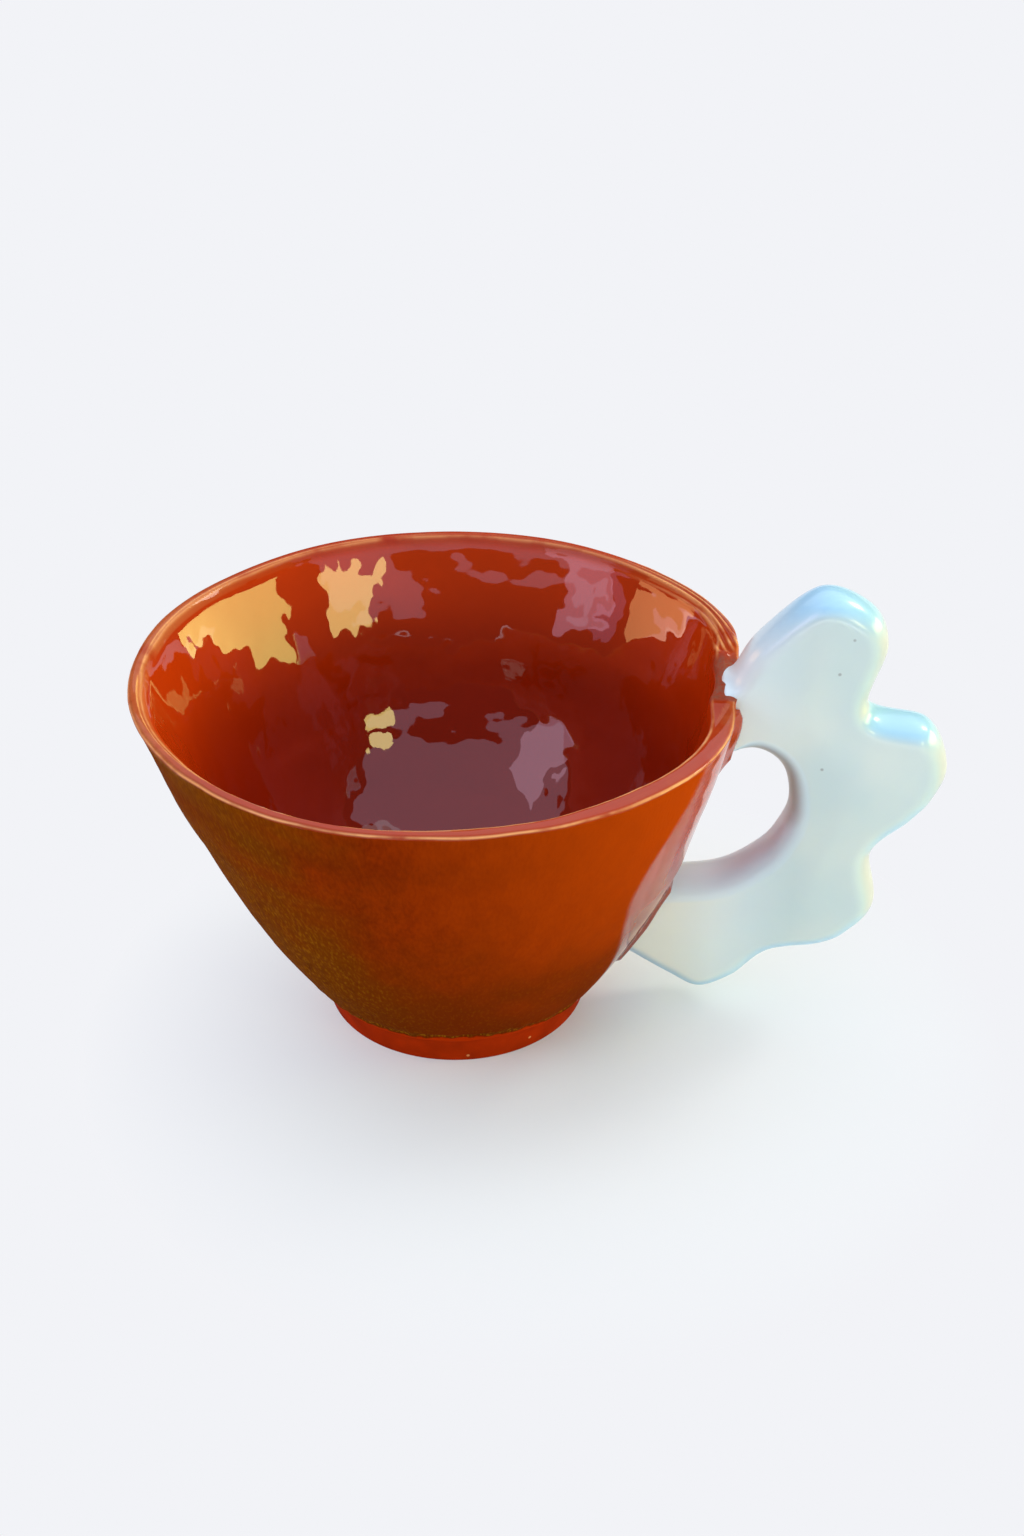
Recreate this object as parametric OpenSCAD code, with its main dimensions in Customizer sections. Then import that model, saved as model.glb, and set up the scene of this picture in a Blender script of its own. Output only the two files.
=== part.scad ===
// Hand-built earthenware mug: a flared bowl on a low foot, with a thick slab handle of lobed outline.
// Millimetres. The origin is the middle of the foot on the table, +Z is up and +X points at the handle.

/* [Bowl] */
// Outside diameter of the rim
rim_d = 110; // [100:1:120]
// Height of the rim above the table
cup_h = 69; // [62:1:76]
// Thickness of the wall, square to its face
wall_t = 4; // [3:0.25:5]
// Radius at which the wall's lower and upper slopes would cross
belly_r = 40.5; // [38:0.5:43]
// Height at which the two slopes would cross
belly_z = 24.5; // [20:0.5:30]
// Height of the rounded lip
lip_h = 2; // [1:0.25:3]
// How far the rim is shifted away from the handle, because the bowl leans
rim_shift = 1.6; // [0:0.2:3]
// Depth of the hollow that the handle sits in at the rim
dent_d = 4; // [0:0.25:5]
// Reach of that hollow to each side of the handle
dent_w = 13; // [10:0.5:18]
// Height of that hollow, down from the rim
dent_h = 26; // [18:1:34]

/* [Foot and floor] */
// Outside diameter of the wall where it stands on the foot
base_d = 53; // [50:0.5:56]
// How far the foot is set in from the wall's lower edge
foot_inset = 1; // [0.5:0.25:3]
// How much further in the foot's lower edge is
foot_taper = 1.25; // [0:0.25:3]
// Height of the foot
foot_h = 6; // [4:0.5:9]
// Width of the foot ring
foot_w = 8; // [5:0.5:12]
// Rounding of the foot's lower edges
foot_round = 0.6; // [0.4:0.2:2]
// Thickness of the floor slab
floor_t = 4.5; // [3:0.25:6]
// Height to which the coil in the corner is smeared up the wall
coil_h = 26; // [16:0.5:30]
// Width to which that coil is smeared over the floor
coil_w = 21; // [14:0.5:23]

/* [Handle] */
// How far the handle stands out from the slant of the wall
handle_reach = 41; // [36:0.5:48]
// Thickness of the slab that the handle is cut from
handle_t = 12; // [9:0.5:14]
// Rounding of the handle's edges
handle_edge = 4; // [2:0.25:4.25]
// Gap between the table and the handle's lowest lobe
handle_clear = 3.5; // [2:0.5:8]

/* [Joins] */
// Thickness of the clay lute between wall and handle
lute_t = 1.5; // [1:0.1:2.5]
// How far the lute spreads past the handle's root
lute_spread = 5; // [3:0.5:8]
// Thickness of the lute at its feathered edge
lute_edge = 0.4; // [0.3:0.1:0.8]
// Hairline left between joined pieces
joint_gap = 0.1; // [0.05:0.05:0.3]

/* [Hidden] */

amber = [0.66, 0.24, 0.05];
amber_inside = [0.50, 0.15, 0.04];
clay_red = [0.69, 0.25, 0.09];
pearl = [0.86, 0.91, 0.89];

// Heights of the floor, the corner coil's top and the start of the lip
floor_z = foot_h + floor_t;
coil_z = floor_z + coil_h;
lip_z = cup_h - lip_h;
// Thickness of the corner coil at its feathered tips
coil_tip = 0.4;
// Share of the handle's length, at each end, over which its square root turns round-edged
root_share = 0.08;
// Fineness of the surfaces
$fn = 96;
wall_sides = 84;
wall_rings = 14;
lip_steps = 6;
handle_stations = 76;
face_steps = 4;
edge_angles = [90, 60, 30, 0];

// The handle's outline, from the rim over its lobes to the lower root: how far out from the slant of
// the wall, in hundredths of handle_reach, and how high, in hundredths of the way up to the rim.
lobe_shares = [
    [-18.5, 114.5], [-6, 126.5], [24, 121.5], [39.5, 112], [46.5, 93], [76, 88], [93, 76.5], [95.5, 66.5],
    [92, 59], [83.5, 48], [98, 31], [94, 21], [84.5, 16.5], [64.5, 13.5], [55.5, 4.5], [42.5, 0], [24, 4.5]
];
// The edge of the finger hole, in the same measures, from its top to its bottom.
hole_shares = [[10, 80], [24, 73.5], [35, 61.5], [36, 53], [33, 46], [22, 38]];
// Heights of the two roots on the wall, in the same hundredths: underside and top.
upper_shares = [80, 93];
lower_shares = [14, 36.5];

// Smooth shapes.
function mix(a, b, t) = a + (b - a) * t;
function bezier(a, b, c, t) = (1 - t) * (1 - t) * a + 2 * t * (1 - t) * b + t * t * c;
function bezier_slope(a, b, c, t) = 2 * (1 - t) * (b - a) + 2 * t * (c - b);
function unit(v) = v / norm(v);
function bend(a, b, c, d, t) = 0.5 * (2 * b + (c - a) * t + (2 * a - 5 * b + 4 * c - d) * t * t
    + (3 * b - a - 3 * c + d) * t * t * t);
// A smooth curve through all the points of a list, at a share s of its length in points.
function curve(pts, s) =
    let (last = len(pts) - 1)
    let (i = min(last - 1, floor(s * last)))
    let (before = i > 0 ? pts[i - 1] : 2 * pts[0] - pts[1])
    let (after = i + 2 <= last ? pts[i + 2] : 2 * pts[last] - pts[last - 1])
    bend(before, pts[i], pts[i + 1], after, s * last - i);
function slope(pts, s) =
    let (step = 0.004)
    unit(curve(pts, min(1, s + step)) - curve(pts, max(0, s - step)));

// The wall: radius outside and inside at a height, lean of its middle, and the hollow at the handle.
function wall_share(z) =
    let (b = 2 * (belly_z - foot_h))
    let (a = foot_h - 2 * belly_z + lip_z)
    2 * (z - foot_h) / (b + sqrt(max(0, b * b + 4 * a * (z - foot_h))));
function outer_r(z) = bezier(base_d / 2, belly_r, rim_d / 2, wall_share(z));
function flare(z) =
    let (t = wall_share(z))
    bezier_slope(base_d / 2, belly_r, rim_d / 2, t) / bezier_slope(foot_h, belly_z, lip_z, t);
function inner_r(z) = outer_r(z) - wall_t * sqrt(1 + flare(z) * flare(z));
function middle_x(z) = -rim_shift * max(0, (z - coil_z) / (cup_h - coil_z));
function dent(y, z) =
    let (up = max(0, (z - cup_h + dent_h) / dent_h))
    dent_d * up * up * exp(-y * y / (dent_w * dent_w));
// A point on a ring of radius r round the wall's leaning middle.
function ring_point(r, a, z) =
    let (y = r * sin(a))
    [middle_x(z) + r * cos(a) - (cos(a) > 0 ? dent(y, z) : 0), y, z];
// How far out the wall's face is, beside the handle's middle plane.
function seat_x(y, z) = middle_x(z) + sqrt(outer_r(z) * outer_r(z) - y * y) - dent(y, z);

// Closed skin over loops of the same number of points, each loop one ring further on.
function skin(loops, sides) = [
    for (i = [0 : loops - 2], j = [0 : sides - 1])
        let (k = (j + 1) % sides)
        let (a = i * sides + j)
        let (b = i * sides + k)
        each [[a, a + sides, b], [b, a + sides, b + sides]]
];

// The wall is one band of rings: up the outside, over the lip, down the inside and under the bottom.
module cup_wall() {
    rise = [for (i = [0 : wall_rings - 1]) mix(foot_h, lip_z, i / (wall_rings - 1))];
    half = (outer_r(lip_z) - inner_r(lip_z)) / 2;
    mid = (outer_r(lip_z) + inner_r(lip_z)) / 2;
    outside = [for (z = rise) [outer_r(z), z]];
    lip = [
        for (i = [1 : lip_steps - 1])
            let (a = 180 * i / lip_steps)
            [mid + half * cos(a), lip_z + lip_h * sin(a)]
    ];
    inside = [for (i = [wall_rings - 1 : -1 : 0]) [inner_r(rise[i]), rise[i]]];
    band = concat(outside, lip, inside, [outside[0]]);
    loops = len(band) - 1;
    points = [
        for (i = [0 : loops - 1], j = [0 : wall_sides - 1])
            ring_point(band[i][0], 360 * j / wall_sides, band[i][1])
    ];
    closing = [
        for (j = [0 : wall_sides - 1])
            let (k = (j + 1) % wall_sides)
            let (a = (loops - 1) * wall_sides)
            each [[a + j, j, a + k], [a + k, j, k]]
    ];
    color(amber) polyhedron(points, concat(skin(loops, wall_sides), closing), convexity = 6);
}

// The floor slab lies inside the wall's lower end, and rests on the foot with it.
module cup_floor() {
    under = inner_r(foot_h) - joint_gap;
    top = inner_r(floor_z) - joint_gap;
    color(amber_inside) rotate_extrude()
        polygon([[0, foot_h], [under, foot_h], [top, floor_z], [0, floor_z]]);
}

// A coil smeared into the corner and smoothed hollow, which rounds the bottom of the bowl.
module corner_coil() {
    steps = 14;
    toe = inner_r(floor_z) - coil_w;
    back = [for (i = [0 : steps]) let (z = mix(floor_z, coil_z, i / steps)) [inner_r(z) - joint_gap, z]];
    corner = [inner_r(floor_z) - coil_tip, floor_z + coil_tip];
    head = [inner_r(coil_z) - joint_gap - coil_tip, coil_z];
    hollow = [for (i = [0 : steps]) bezier(head, corner, [toe, floor_z + coil_tip], i / steps)];
    color(amber_inside) rotate_extrude() polygon(concat(back, hollow, [[toe, floor_z]]));
}

// The ring stands on a flat face, between two rounded edges.
module foot_ring() {
    top_out = base_d / 2 - foot_inset;
    top_in = top_out - foot_w;
    out = top_out - foot_taper;
    in = out - foot_w;
    arc = [for (a = [0 : 15 : 90]) [sin(a), 1 - cos(a)] * foot_round];
    inner_edge = [for (p = arc) [in + foot_round - p[0], p[1]]];
    outer_edge = [for (i = [len(arc) - 1 : -1 : 0]) [out - foot_round + arc[i][0], arc[i][1]]];
    color(clay_red) rotate_extrude()
        polygon(concat(outer_edge, inner_edge, [[top_in, foot_h], [top_out, foot_h]]));
}

// The handle's own plane: heights from hundredths, and the slant that its outline is drawn from.
function height(q) = handle_clear + (cup_h - handle_clear) * q / 100;
low_z = height((lower_shares[0] + lower_shares[1]) / 2);
high_z = height((upper_shares[0] + upper_shares[1]) / 2);
function slant_x(z) = mix(outer_r(low_z), outer_r(high_z), (z - low_z) / (high_z - low_z));
function drawn(p) = let (z = height(p[1])) [slant_x(z) + handle_reach * p[0] / 100, z];
handle_seat = lute_t + joint_gap;
function root(q) = let (z = height(q)) [seat_x(0, z) + handle_seat, z];

// One slab swept round the finger hole, from its upper root to its lower one. Each station is a loop
// over the hole's rounded edge, the back face, the outer rounded edge and the front face.
module handle() {
    outline = concat([root(upper_shares[1])], [for (p = lobe_shares) drawn(p)], [root(lower_shares[0])]);
    finger = concat([root(upper_shares[0])], [for (p = hole_shares) drawn(p)], [root(lower_shares[1])]);
    half = handle_t / 2 - handle_edge;
    // Each rounded edge as [offset into the slab, distance from the middle plane], front to back.
    round_edge = concat(
        [for (a = edge_angles) [1 - cos(a), -sin(a)] * handle_edge + [0, -half]],
        [for (i = [len(edge_angles) - 1 : -1 : 0])
            [1 - cos(edge_angles[i]), sin(edge_angles[i])] * handle_edge + [0, half]]
    );
    count = len(round_edge);
    sides = 2 * (count + face_steps - 1);
    // A point of the slab: share s round the handle, share t from the hole to the outline. The edges are
    // square where the slab meets its seat, and round a little further on.
    function slab(s, t, edge) =
        let (from_end = min(1, min(s, 1 - s) / root_share))
        let (inset = edge[0] * from_end)
        let (d_in = slope(finger, s))
        let (d_out = slope(outline, s))
        let (a = curve(finger, s) + [-d_in[1], d_in[0]] * inset)
        let (b = curve(outline, s) + [d_out[1], -d_out[0]] * inset)
        let (p = mix(a, b, t))
        let (seat = seat_x(edge[1], min(p[1], lip_z)) + handle_seat)
        [from_end == 0 ? seat : max(p[0], seat + from_end * lute_t), edge[1], p[1]];
    front = round_edge[0];
    rear = round_edge[count - 1];
    loops = [
        for (i = [0 : handle_stations])
            let (s = i / handle_stations)
            concat(
                [for (j = [0 : count - 1]) slab(s, 0, round_edge[j])],
                [for (k = [1 : face_steps - 1]) slab(s, k / face_steps, rear)],
                [for (j = [count - 1 : -1 : 0]) slab(s, 1, round_edge[j])],
                [for (k = [face_steps - 1 : -1 : 1]) slab(s, k / face_steps, front)]
            )
    ];
    // Both ends are closed by a grid of points on the seat, between the two rounded edges.
    inside = [
        for (s = [0, 1], j = [1 : count - 2], k = [1 : face_steps - 1])
            slab(s, k / face_steps, round_edge[j])
    ];
    body = (handle_stations + 1) * sides;
    per_end = (count - 2) * (face_steps - 1);
    // The number of a grid point at an end: on the loop at the grid's border, else inside it.
    function grid(end, j, k) =
        let (base = end * handle_stations * sides)
        k == 0 ? base + j
        : k == face_steps ? base + 2 * count + face_steps - 2 - j
        : j == count - 1 ? base + count - 1 + k
        : j == 0 ? base + sides - k
        : body + end * per_end + (j - 1) * (face_steps - 1) + k - 1;
    caps = [
        for (end = [0, 1], j = [0 : count - 2], k = [0 : face_steps - 1])
            let (a = grid(end, j, k))
            let (b = grid(end, j, k + 1))
            let (c = grid(end, j + 1, k))
            let (d = grid(end, j + 1, k + 1))
            each (end == 0 ? [[a, c, b], [b, c, d]] : [[a, b, c], [b, d, c]])
    ];
    points = concat([for (l = loops) each l], inside);
    color(pearl) polyhedron(points, concat(skin(handle_stations + 1, sides), caps), convexity = 10);
}

// A pad of clay on the wall's face: full thickness under the handle's root, feathered around it.
module lute(low, high) {
    steps = 4;
    tall = [height(low), height(high)];
    top = min(tall[1] + lute_spread, lip_z);
    bottom = tall[0] - lute_spread;
    wide = handle_t / 2;
    core = [for (i = [0 : steps]) i / steps];
    zs = concat([bottom, (bottom + tall[0]) / 2], [for (t = core) mix(tall[0], tall[1], t)],
        [(top + tall[1]) / 2, top]);
    ys = concat([-wide - lute_spread, -wide - lute_spread / 2], [for (t = core) mix(-wide, wide, t)],
        [wide + lute_spread / 2, wide + lute_spread]);
    n = len(zs);
    feather = [for (i = [0 : n - 1]) i == 0 || i == n - 1 ? 0 : i == 1 || i == n - 2 ? 0.4 : 1];
    // Corners of the pad are drawn in, so that its outline is round.
    squeeze = 0.15;
    function pull(i) = pow(2 * i / (n - 1) - 1, 4);
    function pad_y(i, j) = ys[j] * (1 - squeeze * pull(i));
    function pad_z(i, j) = mix(zs[i], (top + bottom) / 2, squeeze * pull(j));
    face = [
        for (layer = [0, 1], i = [0 : n - 1], j = [0 : n - 1])
            let (y = pad_y(i, j))
            let (z = pad_z(i, j))
            let (full = mix(lute_edge, lute_t, feather[i] * feather[j]))
            [seat_x(y, z) + (layer == 0 ? joint_gap : full), y, z]
    ];
    under = n * n;
    faces = [
        for (i = [0 : n - 2], j = [0 : n - 2])
            let (a = i * n + j)
            let (c = a + n)
            each [
                [a, a + 1, c], [a + 1, c + 1, c],
                [under + a, under + c, under + a + 1], [under + a + 1, under + c, under + c + 1]
            ]
    ];
    rim = concat(
        [for (j = [0 : n - 2]) j], [for (i = [0 : n - 2]) i * n + n - 1],
        [for (j = [n - 1 : -1 : 1]) (n - 1) * n + j], [for (i = [n - 1 : -1 : 1]) i * n]
    );
    sides = [
        for (i = [0 : len(rim) - 1])
            let (a = rim[i])
            let (b = rim[(i + 1) % len(rim)])
            each [[a, under + a, b], [b, under + a, under + b]]
    ];
    polyhedron(face, concat(faces, sides), convexity = 4);
}

// Smeared up to the lip, at the rim.
module upper_lute() {
    color(amber) lute(upper_shares[0], upper_shares[1]);
}

// A raised patch on the lower wall.
module lower_lute() {
    color(amber) lute(lower_shares[0], lower_shares[1]);
}

cup_wall();
cup_floor();
corner_coil();
foot_ring();
handle();
upper_lute();
lower_lute();
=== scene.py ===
"""Looks of a hand-built earthenware mug: a flared amber bowl on a low foot, with a pearl slab handle."""

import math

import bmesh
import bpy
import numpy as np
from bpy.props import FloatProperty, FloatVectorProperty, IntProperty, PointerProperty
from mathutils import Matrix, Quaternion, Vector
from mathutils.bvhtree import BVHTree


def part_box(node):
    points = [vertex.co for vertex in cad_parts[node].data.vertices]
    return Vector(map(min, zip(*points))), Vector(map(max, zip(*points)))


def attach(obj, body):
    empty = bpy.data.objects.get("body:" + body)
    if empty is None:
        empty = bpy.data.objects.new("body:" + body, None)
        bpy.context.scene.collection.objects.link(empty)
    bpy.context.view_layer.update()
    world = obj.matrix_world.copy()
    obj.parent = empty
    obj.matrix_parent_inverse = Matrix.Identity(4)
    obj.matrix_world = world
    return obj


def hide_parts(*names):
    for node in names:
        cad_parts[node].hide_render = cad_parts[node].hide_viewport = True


bl_info = {
    "name": "Hand-built lobed mug",
    "version": (1, 0, 0),
    "blender": (4, 5, 0),
    "location": "View3D > Sidebar > Mug",
    "description": "Builds the glazed bowl, foot and lobed slab handle of a hand-built mug, with its stage",
    "category": "Object",
}

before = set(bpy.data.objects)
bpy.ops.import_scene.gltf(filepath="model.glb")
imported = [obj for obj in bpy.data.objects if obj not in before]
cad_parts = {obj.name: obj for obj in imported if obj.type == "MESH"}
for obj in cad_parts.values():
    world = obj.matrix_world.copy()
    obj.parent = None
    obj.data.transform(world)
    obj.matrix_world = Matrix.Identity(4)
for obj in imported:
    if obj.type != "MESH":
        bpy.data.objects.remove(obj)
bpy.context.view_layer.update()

MM = 0.001
WALL_LOW, WALL_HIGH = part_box("cup_wall")
FLOOR_LOW, FLOOR_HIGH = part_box("cup_floor")
_, COIL_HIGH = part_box("corner_coil")
_, FOOT_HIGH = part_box("foot_ring")
HANDLE_LOW, HANDLE_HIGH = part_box("handle")

# The handle's outline, from the rim over its lobes to the lower root: how far out from the slant of
# the wall, in hundredths of its reach, and how high, in hundredths of the way up to the rim.
LOBES = [
    (-15, 112.4), (0, 126), (24, 122.3), (39.5, 112), (46.5, 93), (76, 88), (93, 76.5), (95.5, 66.5),
    (92, 59), (83.5, 48), (98, 31), (94, 21), (84.5, 16.5), (64.5, 13.5), (55.5, 4.5), (42.5, 0), (24, 4.5),
]
# The edge of the finger hole, from its top to its bottom, and the two roots, in the same measures.
HOLE = [(10, 80), (25, 74), (36.5, 62), (38, 53), (34.5, 46), (22, 39)]
UPPER_ROOT = (80, 93)
LOWER_ROOT = (14, 36.5)
# Where the slab is let into the rim, in millimetres out from the rim's inner edge and up from its top.
LET_IN = [(2.2, -4.0), (2.3, -0.9), (4.2, 1.3)]

# Specks in the glaze, in millimetres: iron in the handle's front face, grog in the foot.
HANDLE_SPECKS = [(68.95, -5.7, 79.8), (66.95, -5.7, 73.15), (65.3, -5.7, 54.0)]
FOOT_SPECKS = [(4.3, -24.1, 1.4), (15.2, -19.4, 2.6)]

SAME_POINT = 1e-6  # points closer than this are merged
CREASE = 0.7  # edges bent by more than this many radians stay crisp
SKIN = 1.6 * MM  # how deep under the wall's outer face a point still counts as on it
FOOT_GAP = 0.15 * MM  # hairline between wall and foot
BULK_EASE = 290 * MM  # the wall thickens downwards by the square of the depth over this
RIDGES = 3.2  # ridges across the rim behind the handle
# Stretches of the rim, in degrees round from the handle: where each begins, is full, starts to fade and is gone.
DRAWN = (12, 32, 325, 345)
RIDGED = (9, 14, 40, 60)
RUN_OUT = (90, 120, 184, 188)
SEAM = (186, 189, 255, 285)
FRONT = (205, 235, 335, 350)

# Kinds of node that are used often, and settings that go with them
MATH, VECTOR, NOISE, SPAN = "ShaderNodeMath", "ShaderNodeVectorMath", "ShaderNodeTexNoise", "ShaderNodeMapRange"
MIX, MARK, SPLIT, JOIN = "ShaderNodeMix", "ShaderNodeAttribute", "ShaderNodeSeparateXYZ", "ShaderNodeCombineXYZ"
COUNT, MOVE, NAMED = "FunctionNodeIntegerMath", "GeometryNodeSetPosition", "GeometryNodeInputNamedAttribute"
SAMPLE, SHADING = "GeometryNodeSampleIndex", "GeometryNodeSetShadeSmooth"
PLUS, LESS, TIMES, OVER, UNIT, SCALE, APART = ({"operation": name} for name in (
    "ADD", "SUBTRACT", "MULTIPLY", "DIVIDE", "NORMALIZE", "SCALE", "DISTANCE"))
SOFT = {"interpolation_type": "SMOOTHSTEP"}
NUMBER = {"data_type": "FLOAT"}
TINT = {"data_type": "RGBA", "out": 2}


def linear(hex_colour):
    """An sRGB hex colour as linear red, green, blue and alpha."""
    parts = [int(hex_colour[i:i + 2], 16) / 255 for i in (0, 2, 4)]
    curve = [c / 12.92 if c <= 0.04045 else ((c + 0.055) / 1.055) ** 2.4 for c in parts]
    return (*curve, 1.0)


def length(name, description, default):
    """A size in metres, as a property."""
    return FloatProperty(name=name, description=description, default=default, unit="LENGTH", precision=5)


def colour(name, description, hex_colour):
    """A colour, as a property."""
    return FloatVectorProperty(name=name, description=description, default=linear(hex_colour), size=4,
                               min=0, max=1, subtype="COLOR")


class MugBowl(bpy.types.PropertyGroup):
    """Sizes of the bowl and its foot."""
    rim_d: length("Rim", "Outside diameter of the rim", WALL_HIGH.y - WALL_LOW.y)
    cup_h: length("Height", "Height of the rim above the table", WALL_HIGH.z)
    wall_t: length("Wall", "Thickness of the wall, square to its face", 4 * MM)
    belly_r: length("Belly radius", "Radius at which the wall's two slopes would cross", 40.5 * MM)
    belly_z: length("Belly height", "Height at which the wall's two slopes would cross", 24.5 * MM)
    base_d: length("Base", "Outside diameter of the wall on the foot", 53 * MM)
    foot_h: length("Foot height", "Height of the foot ring", FOOT_HIGH.z)
    foot_w: length("Foot width", "Width of the foot ring", 8 * MM)
    foot_taper: length("Foot taper", "How far the foot's lower edge is set in", 1.25 * MM)
    coil_w: length("Coil width", "Width to which the corner coil is smeared over the floor", 21 * MM)
    rim_edge: length("Rim edge", "Rounding of the rim's outer edge", 0.6 * MM)
    rim_roll: length("Rim roll", "Rounding of the rim's inner edge", 1.0 * MM)
    swell: length("Swell", "How much thicker the wall is a little under the rim", 0.9 * MM)
    swell_z: length("Swell height", "Height of that thicker place", 56 * MM)
    bulk_z: length("Bulk height", "Height below which the wall thickens towards the corner coil", 50 * MM)
    rim_shift: length("Lean", "How far the bowl leans away from the handle", 1.6 * MM)
    dent_d: length("Dent", "Depth of the hollow that the handle sits in", 4 * MM)
    dent_w: length("Dent width", "Reach of that hollow to each side", 13 * MM)
    dent_h: length("Dent height", "Height of that hollow, down from the rim", 26 * MM)
    form_wobble: length("Form wobble", "How far the hand-formed wall strays from round", 0.8 * MM)
    inner_ripple: length("Inner ripple", "Height of the ripples in the thick glaze inside", 1.4 * MM)
    outer_ripple: length("Outer ripple", "Height of the scraped relief outside", 0.5 * MM)
    around: IntProperty(name="Around", description="Faces round the bowl", default=400, min=24)


class MugHandle(bpy.types.PropertyGroup):
    """Sizes of the handle and its joins."""
    reach: length("Reach", "How far the handle stands out from the wall's slant", 41 * MM)
    thick: length("Thickness", "Thickness of the slab", HANDLE_HIGH.y - HANDLE_LOW.y)
    edge: length("Edge", "Rounding of the slab's edges", 4 * MM)
    hole_edge: length("Hole edge", "Rounding of the finger hole's edges", 3.8 * MM)
    crown: length("Crown", "How much the slab's faces bulge", 0.5 * MM)
    clear: length("Clearance", "Height of the lowest lobe above the table", HANDLE_LOW.z)
    lute_t: length("Lute", "Height of the smeared clay at the handle's root", 1.5 * MM)
    lute_spread: length("Lute spread", "How far the smeared clay runs out over the wall", 5 * MM)
    stations: IntProperty(name="Stations", description="Sections round the handle", default=420, min=24)


class MugColours(bpy.types.PropertyGroup):
    """Colours of the glazes and the clay."""
    amber: colour("Amber", "Glaze on the outside of the bowl", "6E1C01")
    # Also painted light: it lightens the outside towards the handle, on the side the light falls on
    light_amber_and_painted_light: colour("Light amber", "Glaze where it runs thin outside", "BE4301")
    olive: colour("Olive", "Glaze over the scraped left side", "6E3901")
    # Also the painted shade of a soft band under the rim
    brown: colour("Brown", "Glaze on the lower wall in front", "6C2201")
    umber_and_painted_shade: colour("Umber", "Spots and hollows of the scraped wall", "421A02")
    # Painted highlights on the scraped relief and on the ridges of the groove over the foot
    painted_gold_highlight: colour("Gold", "Strokes where the glaze breaks over the scraped relief", "A8680C")
    groove: colour("Groove", "Glaze in the torn groove over the foot", "6A3204")
    # The blend from upper pool down to pool is partly deeper glaze and partly painted shade inside the bowl
    pool: colour("Pool", "Glaze where it pools in the bowl", "8C1A01")
    pool_top: colour("Upper pool", "Glaze in the bowl near the rim", "C43802")
    torn: colour("Torn", "Clay in the torn edge at the handle", "8E503C")
    # Partly glaze that breaks thin, partly painted highlight along the rim's edges, seam and ridges
    edge: colour("Edge", "Glaze where it breaks over the rim's edges", "F0A666")
    foot_red: colour("Foot red", "Iron-red slip on the foot", "C03403")
    pearl: colour("Pearl", "Glaze on the handle's faces", "D1E3E0")
    # Painted light that lifts the shade and the orange bounce at the upper root beside the wall
    painted_root_light: colour("Root", "Pearl glaze at the upper root", "F2FFFF")
    # Painted warm light on the handle's edges that face away from the bowl
    painted_warm_edge: colour("Pearl edge", "Pearl glaze on the edges away from the bowl", "D6D2C8")
    # Also lifted as painted light at the lower root, against the shade beside the wall
    cream_and_painted_root_light: colour("Cream", "Pearl glaze where it is thin", "F8F7E4")
    # Painted sky reflection on the lobes' upward facets, and painted blue light on the faces that turn down
    painted_sky_blue: colour("Blue", "Pearl glaze where it lies thick, on and under the lobes", "A6D9F3")
    # Painted light in the finger hole: lighter and bluer against its shade and the orange bounce from the bowl
    painted_hole_light: colour("Lilac", "Pearl glaze round the finger hole", "E0F6FF")
    # Painted shade on the finger hole's faces that turn down and towards the bowl
    painted_hole_shade: colour("Tan", "Clay that shows through at the finger hole's upper edge", "8C703C")
    floor: colour("Floor", "Table and backdrop", "F2F3F7")


# Shapes that the pieces share

def bezier(a, b, c, t):
    return (1 - t) ** 2 * a + 2 * t * (1 - t) * b + t ** 2 * c


def bezier_slope(a, b, c, t):
    return 2 * (1 - t) * (b - a) + 2 * t * (c - b)


def ease(x, low, high):
    """0 below low, 1 above high, smooth between."""
    t = np.clip((x - low) / (high - low), 0, 1)
    return t * t * (3 - 2 * t)


def between(x, begin, full, fade, gone):
    """1 from full to fade, falling smoothly to 0 outside."""
    return ease(x, begin, full) * (1 - ease(x, fade, gone))


def bell(x, middle, width):
    """1 in the middle, falling to 0 on both sides."""
    return np.exp(-((x - middle) / width) ** 2)


def ripple(points, size, seed):
    """Smooth noise over points, about -1 to 1, whose lumps are about size across."""
    rng = np.random.default_rng(seed)
    waves = 28
    turn = rng.normal(size=(waves, points.shape[1]))
    turn *= (np.pi / size * rng.uniform(0.6, 1.5, waves) / np.linalg.norm(turn, axis=1))[:, None]
    return np.sin(points @ turn.T + rng.uniform(0, 2 * np.pi, waves)).sum(1) / math.sqrt(waves) * 0.8


def lip_z(b):
    """Height at which the rim's outer edge starts to turn over."""
    return b.cup_h - b.rim_edge


def wall_share(b, z):
    """Share of the wall's curve at a height."""
    rise = 2 * (b.belly_z - b.foot_h)
    bend = b.foot_h - 2 * b.belly_z + lip_z(b)
    return 2 * (z - b.foot_h) / (rise + np.sqrt(np.maximum(0, rise ** 2 + 4 * bend * (z - b.foot_h))))


def outer_r(b, z):
    """Radius outside, 0.2 mm short of the rim's diameter, which the uneven rim then keeps to."""
    return bezier(b.base_d / 2, b.belly_r, b.rim_d / 2 - 0.2 * MM, wall_share(b, z))


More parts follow.
